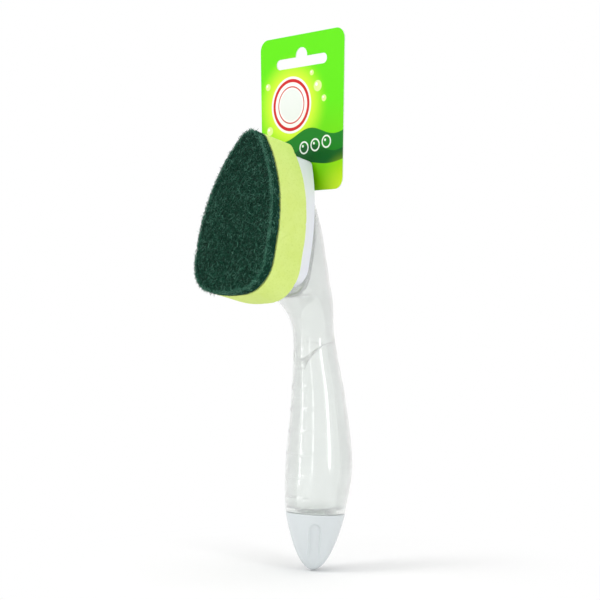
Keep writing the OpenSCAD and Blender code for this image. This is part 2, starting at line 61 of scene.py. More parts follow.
# Seam with the cap, and heights along the clear body
SEAM_Z, SEAM_Y, SEAM_R, CAP_LEAN = 31.4, -0.5, 16.3, math.radians(4)
WALL, NECK_Z, HEEL_Z, RIDGE_Z, TIP_Z = 1.8, 130.0, 157.0, 180.0, 205.2
ARCH_Z, ARCH_Y, ARCH_R = 109.7, 2.5, 14.5
RIB_Z, RIB_PITCH, RIB_COUNT, RIB_RISE, RIB_HALF = 40.2, 11.9, 6, 0.62, 0.75
# Filler neck, its thread and the inside of the cap
FILLER_R, MOUTH_R, FILLER_LEN = 9.5, 7.6, 9.5
THREAD_RISE, THREAD_ROOT, THREAD_CREST, THREAD_PITCH = 1.0, 0.9, 0.4, 4
BORE_R, RIM_GAP, SEAT_DEPTH, HOLLOW_R, HOLLOW_FLOOR = FILLER_R + 1.3, 0.5, 11.1, 7.76, 19.1
# The cap's flutes: half the width of the floor, the edge beside it, and where the round top has its centre
FLUTE_DEPTH, FLUTE_HALF, FLUTE_EDGE, FLUTE_TOP, FLUTE_TURN = 1.15, 2.7, 0.8, 8.6, math.radians(14)
FLUTE_FADE, FLUTE_FADE_LEN = 19, 8
WIDEST_Y = -14.2


def place(points):
    """Wand frame in millimetres to the row's frame in metres."""
    return (np.asarray(points, float) + (0, HEAD_REACH, -HEAD_HEIGHT)) / 1000


def on_face(x, y, depth):
    """A point y along the scrubbing face from its centre and depth behind it, in the wand frame."""
    return np.stack(np.broadcast_arrays(x, -HEAD_REACH + y * SIN + depth * COS,
                                        HEAD_HEIGHT + y * COS - depth * SIN), -1)


def plane_y(z, depth):
    """Y of the plane that lies at a depth behind the face, at a height."""
    return -HEAD_REACH + (z - HEAD_HEIGHT) * math.tan(HEAD_LEAN) + depth / COS


def face_y(z, depth):
    """The place along the face of a point at a height and depth."""
    return (z - HEAD_HEIGHT + depth * SIN) / COS


# ---------------------------------------------------------------- outline of the sponge, plate and base
def corner_height(nose, nose_r, r, x):
    """Height of the centre of a nose corner's arc."""
    return nose - nose_r + math.sqrt((nose_r - r) ** 2 - x ** 2)


def side_radius(half, wide, cx, cy, r):
    """Radius of the long side that starts at the widest place and runs into the nose corner's arc."""
    return ((half - cx) ** 2 + (cy - wide) ** 2 - r ** 2) / (2 * (half - cx - r))


def outline(half, heel, heel_r, corner_r, nose_r_corner, nose_x, nose_r, nose, count=480):
    """Tangent arcs round the heel, its corners, the long sides and the nose, as evenly spaced points."""
    corner_x = half - corner_r
    corner_y = heel + heel_r - math.sqrt((heel_r - corner_r) ** 2 - corner_x ** 2)
    tip_y = corner_height(nose, nose_r, nose_r_corner, nose_x)
    side_r = side_radius(half, WIDEST_Y, nose_x, tip_y, nose_r_corner)

    def arc(cx, cy, r, start, stop):
        turn = np.radians(np.linspace(start, stop, 200))
        return np.stack([cx + r * np.cos(turn), cy + r * np.sin(turn)], -1)

    heel_a = math.degrees(math.atan2(corner_y - heel - heel_r, corner_x))
    side_a = math.degrees(math.atan2(tip_y - WIDEST_Y, nose_x - half + side_r))
    nose_a = math.degrees(math.atan2(tip_y - nose + nose_r, nose_x))
    right = np.concatenate([
        arc(0, heel + heel_r, heel_r, -90, heel_a), arc(corner_x, corner_y, corner_r, heel_a, 0),
        arc(half - side_r, WIDEST_Y, side_r, 0, side_a), arc(nose_x, tip_y, nose_r_corner, side_a, nose_a),
        arc(0, nose - nose_r, nose_r, nose_a, 90)])
    loop = np.concatenate([right, right[-2:0:-1] * (-1, 1)])
    loop = np.concatenate([loop, loop[:1]])
    run = np.concatenate([[0], np.cumsum(np.linalg.norm(np.diff(loop, axis=0), axis=1))])
    at = np.linspace(0, run[-1], count, endpoint=False)
    return np.stack([np.interp(at, run, loop[:, 0]), np.interp(at, run, loop[:, 1])], -1)


def outward(loop):
    """Unit normals of a closed outline."""
    along = np.roll(loop, -1, 0) - np.roll(loop, 1, 0)
    normal = np.stack([along[:, 1], -along[:, 0]], -1)
    return normal / np.linalg.norm(normal, axis=1, keepdims=True)


SOLE_HALF, SOLE_REACH = 28.0, 44.2
SOLE = dict(half=SOLE_HALF, heel=-SOLE_REACH, heel_r=80.0, corner_r=18.6, nose_r_corner=8.6, nose_x=0.65,
            nose_r=16.0, nose=SOLE_REACH)
PLATE_HALF, PLATE_TIP_Y = 18.9, face_y(TIP_Z, DOCK_T)
PLATE_SIDE_R = side_radius(PLATE_HALF, WIDEST_Y, 8.0, corner_height(PLATE_TIP_Y, 30.0, 4.0, 8.0), 4.0)


def plate_side(y):
    """Half of the plate's width at a place along the face."""
    return PLATE_HALF - PLATE_SIDE_R + np.sqrt(PLATE_SIDE_R ** 2 - np.maximum(y - WIDEST_Y, 0) ** 2)


# ---------------------------------------------------------------- side view of the clear body
def through(stations, z):
    """Smooth curve through stations of height and value."""
    heights, values = (np.array(column, float) for column in zip(*stations))
    last = len(heights) - 1
    slopes = np.array([(values[min(i + 1, last)] - values[max(i - 1, 0)])
                       / (heights[min(i + 1, last)] - heights[max(i - 1, 0)]) for i in range(last + 1)])
    z = np.asarray(z, float)
    i = np.clip(np.searchsorted(heights, z, side="right") - 1, 0, last - 1)
    h = heights[i + 1] - heights[i]
    t = (z - heights[i]) / h
    return ((2 * t ** 3 - 3 * t ** 2 + 1) * values[i] + (t ** 3 - 2 * t ** 2 + t) * h * slopes[i]
            + (3 * t ** 2 - 2 * t ** 3) * values[i + 1] + (t ** 3 - t ** 2) * h * slopes[i + 1])


NECK_SHIFT, NECK_R = -1.8, 11.2
BACK = [(23.4, 13.8), (SEAM_Z, 15.8), (57, 20.6), (95, 16.4), (NECK_Z, NECK_SHIFT + NECK_R),
        (HEEL_Z, plane_y(HEEL_Z, DOCK_T) + 30.8), (RIDGE_Z, plane_y(RIDGE_Z, DOCK_T) + 18.9),
        (TIP_Z, plane_y(TIP_Z, DOCK_T) + 5.6)]
FRONT = [(23.4, -14.8), (SEAM_Z, -16.8), (57, -16.0), (95, -13.0), (NECK_Z, NECK_SHIFT - NECK_R)]
WIDTH = [(23.4, 14.3), (SEAM_Z, 16.3), (57, 18.3), (95, 14.7), (NECK_Z, NECK_R), (HEEL_Z, PLATE_HALF - 0.4),
         (RIDGE_Z, float(plate_side(face_y(RIDGE_Z, SHELL_T))))]
THROAT_TOP, THROAT_H = HEEL_Z - 8, 23.0
THROAT_LOW = THROAT_TOP - THROAT_H
THROAT_DEPTH = NECK_SHIFT - NECK_R - plane_y(THROAT_TOP, DOCK_T) + 3


def front_at(z):
    s = np.clip((z - THROAT_LOW) / THROAT_H, 0, 1)
    return through(FRONT, np.minimum(z, NECK_Z)) - THROAT_DEPTH * (1 - np.sqrt(1 - s ** 2))


def width_at(z):
    return np.where(z < RIDGE_Z, through(WIDTH, np.minimum(z, RIDGE_Z)), plate_side(face_y(z, SHELL_T)))


def middle_at(z):
    low = np.minimum(z, NECK_Z)
    round_mid = (through(BACK, low) + front_at(low)) / 2
    s = np.clip((z - NECK_Z + 6) / (HEEL_Z - NECK_Z + 6), 0, 1)
    return round_mid + (plane_y(z, DOCK_T) - round_mid) * s ** 3


def skin(z, angle, inset=0.0, ribs=False):
    """Points of the clear body's skin at heights z and angles from the back, inside it by inset."""
    z, angle = np.broadcast_arrays(np.asarray(z, float), angle)
    bump = 0.0
    if ribs:
        off = (z - RIB_Z + RIB_PITCH / 2) % RIB_PITCH - RIB_PITCH / 2
        live = (z > RIB_Z - 3) & (z < RIB_Z + (RIB_COUNT - 1) * RIB_PITCH + 3)
        side = np.clip((math.radians(36) - np.abs(angle - math.pi)) / math.radians(7), 0, 1)
        bump = live * RIB_RISE * np.exp(-(off / RIB_HALF) ** 4) * side * side * (3 - 2 * side)
    middle = middle_at(z)
    back = through(BACK, z) - middle - inset
    front = middle - front_at(z - inset) - inset + bump
    turn = np.cos(angle)
    return np.stack([(width_at(z) - inset + bump) * np.sin(angle),
                     middle + np.where(turn > 0, back, front) * turn, z], -1)


def arch_height(y, gap):
    """Height of the arched seam above a point at this depth."""
    return ARCH_Z + np.sqrt(np.maximum((ARCH_R + gap) ** 2 - (y - ARCH_Y) ** 2, 0))


def arch_on_skin(angle, gap, inset=0.0):
    """Heights at which the skin, or its inside, meets the arched seam."""
    z = np.full_like(angle, ARCH_Z + 8)
    for _ in range(40):
        z = 0.5 * z + 0.5 * arch_height(skin(z, angle, inset)[:, 1], gap)
    return z


def in_cap(r, angle, depth):
    """A ring round the cap's leaning axis, at a depth below the seam, in the wand frame."""
    y, z = r * np.cos(angle), -depth
    return np.stack(np.broadcast_arrays(
        r * np.sin(angle), SEAM_Y + y * math.cos(CAP_LEAN) + z * math.sin(CAP_LEAN),
        SEAM_Z - y * math.sin(CAP_LEAN) + z * math.cos(CAP_LEAN)), -1)


def cap_radius(depth):
    """The cap's radius at a depth below the seam."""
    return SEAM_R * np.sqrt(np.maximum(1 - (np.asarray(depth) / SEAM_Z) ** 1.15, 0))


# ---------------------------------------------------------------- modelling helpers
def fresh():
    """Nothing selected, and no object in edit mode."""
    if bpy.context.object and bpy.context.object.mode != "OBJECT":
        bpy.ops.object.mode_set(mode="OBJECT")
    bpy.ops.object.select_all(action="DESELECT")


def grid_piece(name, rings, closed_along=False):
    """A grid whose rows are laid on the given rings of points, each ring closed, and sewn into one skin."""
    fresh()
    rows, columns = len(rings), len(rings[0])
    bpy.ops.mesh.primitive_grid_add(x_subdivisions=columns, y_subdivisions=rows - (not closed_along), size=1)
    piece = bpy.context.object
    piece.name = piece.data.name = name
    laid = np.concatenate([rings, [rings[0]]]) if closed_along else np.asarray(rings)
    laid = np.concatenate([laid, laid[:, :1]], 1)
    piece.data.vertices.foreach_set("co", place(laid).ravel())
    piece.data.update()
    bpy.ops.object.mode_set(mode="EDIT")
    bpy.ops.mesh.select_all(action="SELECT")
    bpy.ops.mesh.remove_doubles(threshold=2e-6)
    if not closed_along:
        bpy.ops.mesh.select_all(action="DESELECT")
        bpy.ops.mesh.select_mode(type="EDGE")
        bpy.ops.mesh.select_non_manifold()
        bpy.ops.mesh.fill_holes(sides=0)
    bpy.ops.mesh.select_all(action="SELECT")
    bpy.ops.mesh.normals_make_consistent(inside=False)
    bpy.ops.object.mode_set(mode="OBJECT")
    return piece


def smooth(piece, angle=40):
    fresh()
    piece.select_set(True)
    bpy.context.view_layer.objects.active = piece
    bpy.ops.object.shade_smooth_by_angle(angle=math.radians(angle))
    return piece


def apply_modifier(piece, kind, **settings):
    fresh()
    piece.select_set(True)
    bpy.context.view_layer.objects.active = piece
    modifier = piece.modifiers.new(kind.lower(), kind)
    for key, value in settings.items():
        setattr(modifier, key, value)
    bpy.ops.object.modifier_apply(modifier=modifier.name)


def plain_copy(node, name):
    """A node's mesh as a piece of its own, with its doubles merged."""
    fresh()
    piece = bpy.data.objects.new(name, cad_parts[node].data.copy())
    piece.data.name = name
    bpy.context.scene.collection.objects.link(piece)
    piece.select_set(True)
    bpy.context.view_layer.objects.active = piece
    bpy.ops.object.mode_set(mode="EDIT")
    bpy.ops.mesh.select_all(action="SELECT")
    bpy.ops.mesh.remove_doubles(threshold=1e-6)
    bpy.ops.mesh.normals_make_consistent(inside=False)
    bpy.ops.object.mode_set(mode="OBJECT")
    return piece


def sewn_copy(node, name, width, other=None):
    """A node's shape, joined with another that is moulded in one with it, and its edges rounded."""
    piece = plain_copy(node, name)
    if other:
        second = plain_copy(other, name + "_other")
        apply_modifier(piece, "BOOLEAN", operation="UNION", solver="EXACT", object=second)
        bpy.data.objects.remove(second)
        fresh()
        piece.select_set(True)
        bpy.context.view_layer.objects.active = piece
    bpy.ops.object.mode_set(mode="EDIT")
    bpy.ops.mesh.select_all(action="SELECT")
    bpy.ops.mesh.remove_doubles(threshold=1e-6)
    bpy.ops.mesh.dissolve_limited(angle_limit=math.radians(0.5))
    bpy.ops.mesh.normals_make_consistent(inside=False)
    bpy.ops.object.mode_set(mode="OBJECT")
    apply_modifier(piece, "BEVEL", width=width, segments=2, limit_method="ANGLE",
                   angle_limit=math.radians(38), use_clamp_overlap=True)
    return smooth(piece, 35)


def joined(piece, other):
    """Two pieces as one object."""
    fresh()
    other.select_set(True)
    piece.select_set(True)
    bpy.context.view_layer.objects.active = piece
    bpy.ops.object.join()
    return piece


def thread(name, root_r, crest_r, start):
    """One and a half turns of a screw ridge on the filler's axis."""
    low, steps = (-1 if root_r > crest_r else 1), 96
    section = ((root_r, THREAD_ROOT), (crest_r, THREAD_CREST), (crest_r, -THREAD_CREST),
               (root_r, -THREAD_ROOT))
    rings = []
    for i in range(steps * 3 // 2 + 1):
        angle = math.radians(90 - start - 360 / steps * i)
        z = 1.8 - FILLER_LEN + THREAD_PITCH * i / steps
        rings.append([in_cap(r, np.array([angle]), -(z + low * off))[0] for r, off in section])
    return smooth(grid_piece(name, np.array(rings)), 30)


def finish_piece(piece, body, material, slot, *nodes):
    piece.data.materials.clear()
    piece.data.materials.append(material)
    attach(piece, body)
    if nodes:
        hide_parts(*nodes)
    return piece


# ---------------------------------------------------------------- shader arithmetic
class Socket:
    """An output that takes part in plain arithmetic. Each operation adds its Math node."""

    def __init__(self, tree, out):
        self.tree, self.out = tree, out

    def math(self, operation, *others, flip=False):
        node = self.tree.nodes.new("ShaderNodeMath")
        node.operation = operation
        values = [self, *others]
        for socket, value in zip(node.inputs, values[::-1] if flip else values):
            if isinstance(value, Socket):
                self.tree.links.new(value.out, socket)
            else:
                socket.default_value = value
        return Socket(self.tree, node.outputs[0])

    def __add__(self, other): return self.math("ADD", other)
    def __sub__(self, other): return self.math("SUBTRACT", other)
    def __rsub__(self, other): return self.math("SUBTRACT", other, flip=True)
    def __mul__(self, other): return self.math("MULTIPLY", other)
    def __pow__(self, other): return self.math("POWER", other)
    def __abs__(self): return self.math("ABSOLUTE")
    __radd__, __rmul__ = __add__, __mul__

    def sin(self): return self.math("SINE")
    def root(self): return self.math("SQRT")
    def most(self, other): return self.math("MAXIMUM", other)

    def step(self, low, high):
        """0 below low and 1 above high, with a smooth rise between."""
        node = self.tree.nodes.new("ShaderNodeMapRange")
        node.interpolation_type = "SMOOTHSTEP"
        self.tree.links.new(self.out, node.inputs["Value"])
        node.inputs["From Min"].default_value, node.inputs["From Max"].default_value = low, high
        return Socket(self.tree, node.outputs[0])

    def between(self, low, high):
        """0 below low and 1 above high, straight between."""
        node = self.tree.nodes.new("ShaderNodeMapRange")
        self.tree.links.new(self.out, node.inputs["Value"])
        node.inputs["From Min"].default_value, node.inputs["From Max"].default_value = low, high
        return Socket(self.tree, node.outputs[0])


class Finish:
    """A material under construction."""

    def __init__(self, name, **constants):
        self.material = bpy.data.materials.new(name)
        self.material.use_nodes = True
        self.tree = self.material.node_tree
        self.shader = self.tree.nodes["Principled BSDF"]
        for key, value in constants.items():
            self.shader.inputs[key.replace("_", " ")].default_value = value
        self.place = self.node("ShaderNodeTexCoord").outputs["Object"]

    def node(self, kind, settings=(), **sockets):
        node = self.tree.nodes.new(kind)
        for key, value in dict(settings).items():
            setattr(node, key, value)
        for key, value in sockets.items():
            socket = node.inputs[key.replace("_", " ")]
            value = value.out if isinstance(value, Socket) else value
            if isinstance(value, bpy.types.NodeSocket):
                self.tree.links.new(value, socket)
            else:
                socket.default_value = value
        return node

    def split(self, vector):
        return [Socket(self.tree, out) for out in self.node("ShaderNodeSeparateXYZ", Vector=vector).outputs]

    def noise(self, size, detail=3.0, roughness=0.55, stretch=None):
        """Noise whose blobs are size metres across."""
        where = self.place
        if stretch:
            where = self.node("ShaderNodeMapping", Vector=where, Scale=stretch).outputs[0]
        made = self.node("ShaderNodeTexNoise", Vector=where, Scale=1 / size, Detail=detail,
                         Roughness=roughness)
        return Socket(self.tree, made.outputs[0])

    def cells(self, size):
        made = self.node("ShaderNodeTexVoronoi", Vector=self.place, Scale=1 / size)
        return Socket(self.tree, made.outputs["Distance"])

    def mix(self, factor, low, high):
        node = self.tree.nodes.new("ShaderNodeMix")
        node.data_type = "RGBA"
        for socket, value in zip((node.inputs[0], node.inputs[6], node.inputs[7]), (factor, low, high)):
            if isinstance(value, Socket):
                self.tree.links.new(value.out, socket)
            else:
                socket.default_value = value if isinstance(value, (int, float)) else (*value, 1)
        return Socket(self.tree, node.outputs[2])

    def give(self, **sockets):
        for key, value in sockets.items():
            self.tree.links.new(value.out, self.shader.inputs[key.replace("_", " ")])
        return self

    def bump(self, height, distance, strength=1.0):
        node = self.node("ShaderNodeBump", Height=height, Distance=distance, Strength=strength)
        self.tree.links.new(node.outputs[0], self.shader.inputs["Normal"])
        return self


def rgb(red, green, blue):
    """A colour written as it looks, turned into the linear values that a shader takes."""
    return tuple((v / 255 / 12.92) if v <= 10 else ((v / 255 + 0.055) / 1.055) ** 2.4
                 for v in (red, green, blue))


# ---------------------------------------------------------------- materials
def clear_moulding():
    """Clear plastic with a faint haze: part of the light goes straight through, the rest is scattered."""
    made = Finish("clear_moulding", Transmission_Weight=0.82, IOR=1.45, Specular_IOR_Level=0.5,
                  Coat_Weight=1.0, Coat_Roughness=0.03, Coat_IOR=1.6, Alpha=0.66)
    haze = made.noise(0.018, 2.0)
    made.give(Base_Color=made.mix(haze, rgb(238, 243, 240), rgb(245, 248, 246)),
              Roughness=haze.between(0.3, 0.7) * 0.05 + 0.16)
    return made.bump(made.noise(0.012, 2.0, stretch=(1, 1, 0.35)), 0.0004, 0.35).material


def satin_plastic(name, colour, roughness):
    """White moulded plastic with a fine grain."""
    made = Finish(name, Subsurface_Weight=0.12, Subsurface_Radius=(0.004, 0.004, 0.004),
                  Subsurface_Scale=0.5, Specular_IOR_Level=0.45)
    cloud, grain = made.noise(0.012, 3.0), made.noise(0.0005, 2.0)
    made.give(Base_Color=made.mix(cloud, [0.965 * v for v in colour], [min(1.02 * v, 1) for v in colour]),
              Roughness=grain * 0.12 + (roughness - 0.06))
    return made.bump(grain, 0.00003, 0.5).material


def sponge_foam():
    """Cellulose foam with faint pores of two sizes, their hollows painted a little darker as painted shade.
    """
    made = Finish("sponge_foam", Subsurface_Weight=0.18, Subsurface_Radius=(0.004, 0.004, 0.002),
                  Subsurface_Scale=0.4, Specular_IOR_Level=0.15)
    pores, pinholes, cloud = made.cells(0.0016), made.cells(0.0007), made.noise(0.009, 3.0)
    wall = pores.step(0.05, 0.5) * 0.55 + pinholes.step(0.05, 0.45) * 0.45
    body = made.mix(cloud, rgb(204, 224, 116), rgb(216, 234, 142))
    # Painted shade: the inside of each pore is coloured a little darker than the foam round it.
    made.give(Base_Color=made.mix(wall, rgb(201, 222, 116), body), Roughness=wall * -0.08 + 0.95)
    return made.bump(wall, 0.0003, 0.5).material


def matted_fibre():
    """The dark body of the mat, between its loose fibres."""
    made = Finish("matted_fibre", Roughness=0.9, Specular_IOR_Level=0.1)
    tangle = made.noise(0.0011, 4.0, 0.7)
    made.give(Base_Color=made.mix(tangle.between(0.35, 0.7), rgb(4, 34, 25), rgb(16, 66, 49)))
    return made.bump(tangle, 0.0006, 0.9).material


def loose_fibre():
    """Loose fibres, from dark to pale by their own tone."""
    made = Finish("loose_fibre", Roughness=0.5, Specular_IOR_Level=0.2)
    tone = Socket(made.tree, made.node("ShaderNodeAttribute", {"attribute_name": "tone"}).outputs["Fac"])
    dull = made.mix(tone.between(0, 0.6), rgb(4, 40, 29), rgb(26, 94, 71))
    made.give(Base_Color=made.mix(tone.step(0.6, 1.0), dull, rgb(104, 160, 138)))
    return made.material


def silicone():
    made = Finish("silicone", Transmission_Weight=0.25, Subsurface_Weight=0.2, Subsurface_Scale=0.3)
    made.give(Base_Color=made.mix(made.noise(0.003), rgb(216, 222, 217), rgb(228, 233, 229)))
    return made.bump(made.noise(0.0006), 0.00003).material


def gasket_rubber():
    made = Finish("gasket_rubber", Specular_IOR_Level=0.3)
    dust = made.noise(0.0012, 4.0)
    made.give(Base_Color=made.mix(dust, rgb(158, 163, 162), rgb(176, 181, 180)), Roughness=dust * 0.2 + 0.55)
    return made.bump(dust, 0.00005).material


def printed_card():
    """Glossy card, printed on its two faces with a plate, bubbles and a wave, and bare at its cut edges.
    Places on the card are in millimetres, from the middle and from the middle of the scrubbing face."""
    made = Finish("printed_card", Coat_Weight=0.06, Coat_Roughness=0.12, Specular_IOR_Level=0.14)
    x, _, z = made.split(made.place)
    x, z = x * 1000, z * 1000
    field = made.mix(z.between(14, 60), rgb(134, 210, 0), rgb(100, 229, 0))

    def disc(cx, cz, r):
        return ((x - cx) ** 2.0 + (z - cz) ** 2.0).root() - r

    def laid(base, colour, distance, soft=0.16):
        return made.mix(1 - distance.step(-soft, soft), base, colour)

    centre, red = (-8, 60), rgb(208, 38, 40)
    art = made.mix(1 - disc(*centre, 0.0).step(12, 29), field, rgb(222, 250, 60))
    plate = disc(*centre, 15.5)
    art = laid(art, rgb(250, 252, 246), plate)
    art = laid(art, red, abs(plate + 2.2) - 0.9)
    art = laid(art, red, abs(plate + 5.6) - 0.35)
    art = laid(art, rgb(236, 240, 236), disc(*centre, 8.6))
    for cx, cz, r in ((12.5, 68.5, 3.0), (17.2, 61.5, 1.8), (-25.0, 47.0, 2.4), (8.0, 76.0, 1.5),
                      (-26.5, 71.5, 1.9)):
        ring = disc(cx, cz, r)
        art = laid(art, rgb(226, 250, 150), ring)
        art = laid(art, rgb(252, 255, 246), disc(cx - r * 0.3, cz + r * 0.3, r * 0.32), 0.1)
    crest = (x * 0.16 + 0.6).sin() * 2.6 + 43.5 + x * 0.05
    low = (x * 0.13 + 1.9).sin() * 1.6 + 27.0 + x * 0.06
    end, white = disc(15, 34, 28.5), rgb(244, 250, 244)
    art = laid(art, rgb(20, 128, 30), (z - crest).most(low - z).most(end))
    art = laid(art, rgb(8, 92, 34), (z - crest + 9.0).most(low - z).most(end))
    for cx, cz in ((2.0, 36.0), (10.5, 37.0), (19.0, 38.2)):
        art = laid(art, white, abs(disc(cx, cz, 3.1)) - 0.42)
        art = laid(art, white, disc(cx - 0.9, cz + 0.9, 0.7), 0.1)
    leaf = disc(-24, 20, 15.0).most(disc(-16, 36, 12.5))
    art = laid(art, rgb(246, 232, 42), leaf)
    art = made.mix(disc(34, 10, 0.0).step(4, 24), rgb(206, 240, 40), art)
    _, ny, _ = made.split(made.node("ShaderNodeTexCoord").outputs["Normal"])
    edge = 1 - abs(ny).step(0.6, 0.75)
    back = ny.step(0.6, 0.75)
    reverse = laid(made.mix(z.between(10, 90), rgb(236, 240, 230), rgb(244, 247, 240)), rgb(150, 205, 90),
                   (z - crest).most(low - z))
    paper = made.mix(made.noise(0.0004), rgb(206, 212, 200), rgb(232, 236, 226))
    made.give(Base_Color=made.mix(edge, made.mix(back, art, reverse), paper),
              Roughness=edge * 0.5 + (made.noise(0.006) * 0.08 + 0.27))
    return made.bump(made.noise(0.0009), 0.00003, 0.5).material


def seen_directly(tree):
    """1 for rays from the camera and for those that a mirror or a clear wall sends on."""
    rays = tree.nodes.new("ShaderNodeLightPath").outputs
    found = [Socket(tree, rays[f"Is {kind} Ray"]) for kind in ("Camera", "Glossy", "Transmission")]
    return found[0].most(found[1]).most(found[2])


def studio_floor():
    """A pale floor that takes the wand's shadow and turns into the white backdrop a little way off."""
    made = Finish("studio_floor", Roughness=0.95, Specular_IOR_Level=0.0)
    made.give(Base_Color=made.mix(made.noise(0.4), rgb(249, 249, 249), rgb(253, 253, 253)))
    x, y, _ = made.split(made.place)
    away = (x ** 2.0 + (y - 0.057) ** 2.0).root().step(0.02, 0.16)
    glow = made.node("ShaderNodeEmission")
    blend = made.node("ShaderNodeMixShader", Fac=away * seen_directly(made.tree))
    made.tree.links.new(made.shader.outputs[0], blend.inputs[1])
    made.tree.links.new(glow.outputs[0], blend.inputs[2])
    made.tree.links.new(blend.outputs[0], made.tree.nodes["Material Output"].inputs["Surface"])
    return made.material


CLEAR, FOAM, MAT, FIBRE = clear_moulding(), sponge_foam(), matted_fibre(), loose_fibre()
TRAY = satin_plastic("tray_plastic", rgb(226, 228, 236), 0.38)
CAP = satin_plastic("cap_plastic", rgb(214, 220, 222), 0.22)
CARD, SILICONE, RUBBER = printed_card(), silicone(), gasket_rubber()


# ---------------------------------------------------------------- clear handle and neck
ANGLES = np.linspace(0, 2 * math.pi, 112, endpoint=False)


def rows_between(start, stop, count, inset=0.0, **more):
    """Rings of the skin whose heights run evenly from one set of heights to another."""
    return [skin(start + (stop - start) * t, ANGLES, inset, **more) for t in np.linspace(0, 1, count)]


def handle():
    """Ribbed skin, arched top, inner wall, floor and filler neck, as one closed loop."""
    top, inner_top = arch_on_skin(ANGLES, -0.03), arch_on_skin(ANGLES, -0.03, WALL)
    seam = SEAM_Z - math.tan(CAP_LEAN) * (skin(np.full_like(ANGLES, SEAM_Z), ANGLES)[:, 1] - SEAM_Y)
    rings = [skin(seam, ANGLES, 0.35), skin(seam + 0.12, ANGLES, 0.1)]
    rings += rows_between(seam + 0.4, top - 0.4, 172, ribs=True)
    rings += [skin(top - 0.1, ANGLES, 0.08), skin(top, ANGLES, 0.3)]
    rings += [skin(inner_top, ANGLES, WALL - 0.25), skin(inner_top - 0.15, ANGLES, WALL)]
    rings += rows_between(inner_top - 0.5, np.full_like(ANGLES, 35.2), 90, WALL)
    inside = skin(np.full_like(ANGLES, 34.3), ANGLES, WALL + 0.6)
    mouth = in_cap(MOUTH_R, ANGLES, -WALL)
    rings += [inside * (1 - s) + mouth * s for s in (0.0, 0.3, 0.75, 0.96)]
    for r, depth in (
            (MOUTH_R, -1.3), (MOUTH_R, 2), (MOUTH_R, FILLER_LEN - 0.6), (MOUTH_R + 0.4, FILLER_LEN - 0.1),
            (FILLER_R - 0.4, FILLER_LEN), (FILLER_R, FILLER_LEN - 0.4), (FILLER_R, 5), (FILLER_R, 0.9),
            (FILLER_R + 0.4, 0.25), (FILLER_R + 1.2, 0.02)):
        rings.append(in_cap(r, ANGLES, depth))
    rings += [in_cap(FILLER_R + 1.2 + (SEAM_R - FILLER_R - 1.8) * s, ANGLES, 0.0) for s in (0.5, 0.94)]
    piece = smooth(grid_piece("handle_moulding", rings, closed_along=True), 50)
    return joined(piece, thread("filler_thread", FILLER_R - 0.4, FILLER_R + THREAD_RISE, 0))


def neck():
    """Neck and head as one closed loop, cut flat where the front plate is welded on."""
    low, inner_low = arch_on_skin(ANGLES, 0.12), arch_on_skin(ANGLES, 0.12, WALL)
    edge_r = 2.2
    crown = TIP_Z - edge_r
    rings = [skin(inner_low, ANGLES, WALL - 0.25), skin(low, ANGLES, 0.3), skin(low + 0.1, ANGLES, 0.08)]
    rings += rows_between(low + 0.4, np.full_like(ANGLES, crown), 112)
    for turn in np.radians((20, 40, 60, 76, 86)):
        level = np.full_like(ANGLES, crown + edge_r * math.sin(turn))
        rings.append(skin(level, ANGLES, edge_r * (1 - math.cos(turn))))
    last, first = rings[-1], skin(np.full_like(ANGLES, crown - 3.2), ANGLES, WALL)
    rings += [last.mean(0) + (last - last.mean(0)) * shrink for shrink in (0.6, 0.2)]
    rings += [first.mean(0) + (first - first.mean(0)) * shrink for shrink in (0.2, 0.6, 0.95)]
    rings += rows_between(np.full_like(ANGLES, crown - 4), inner_low + 0.15, 96, WALL)
    piece = grid_piece("neck_moulding", rings, closed_along=True)
    fresh()
    piece.select_set(True)
    bpy.context.view_layer.objects.active = piece
    bpy.ops.object.mode_set(mode="EDIT")
    bpy.ops.mesh.select_all(action="SELECT")
    cut = place(on_face(0, 0, SHELL_T + 0.02))
    bpy.ops.mesh.bisect(plane_co=cut, plane_no=(0, COS, -SIN), use_fill=True, clear_inner=True)
    bpy.ops.mesh.select_all(action="SELECT")
    bpy.ops.mesh.normals_make_consistent(inside=False)
    bpy.ops.object.mode_set(mode="OBJECT")
    return smooth(piece, 50)


finish_piece(handle(), "wand", CLEAR, "clear", "soap_handle")
finish_piece(neck(), "wand", CLEAR, "clear", "neck_shell")
finish_piece(sewn_copy("head_plate", "front_plate", 0.0004, "dock_rail"), "wand", CLEAR, "clear",
             "head_plate", "dock_rail")


# ---------------------------------------------------------------- foam and scouring mat
def soft_slab(name, depth_front, depth_back, edge_r, rows, face_rings, rough):
    """A slab with rounded edges and both faces drawn in to a spine, cut finely enough to be roughened."""
    loop = outline(**SOLE)
    normal = outward(loop)

    def ring(inset, depth):
        return on_face(*(loop - normal * inset).T, depth)

    def face(depth, count):
        flat = loop - normal * (edge_r + 0.5)
        spine = np.stack([flat[:, 0] * 0, flat[:, 1] * 0.45 - 3], -1)
        return [on_face(*(spine + (flat - spine) * s).T, depth) for s in np.linspace(1, 0, count)]

    rings = face(depth_front, face_rings[0])[::-1]
    rings += [ring(edge_r * (1 - math.sin(t)), depth_front + edge_r * (1 - math.cos(t)))
              for t in np.radians((10, 30, 50, 70))]
    rings += [ring(0, depth) for depth in np.linspace(depth_front + edge_r, depth_back - edge_r, rows)]
    rings += [ring(edge_r * (1 - math.cos(t)), depth_back - edge_r * (1 - math.sin(t)))
              for t in np.radians((20, 40, 60, 80))]
    rings += face(depth_back, face_rings[1])
    piece = grid_piece(name, np.array(rings))
    mesh = piece.data
    count = len(mesh.vertices)
    where, away = np.empty(count * 3), np.empty(count * 3)
    mesh.vertices.foreach_get("co", where)
    mesh.vertices.foreach_get("normal", away)
    where, away = where.reshape(-1, 3), away.reshape(-1, 3)
    mesh.vertices.foreach_set("co", (where + away * rough(where * 1000)[:, None] / 1000).ravel())
    mesh.update()
    return smooth(piece, 75)


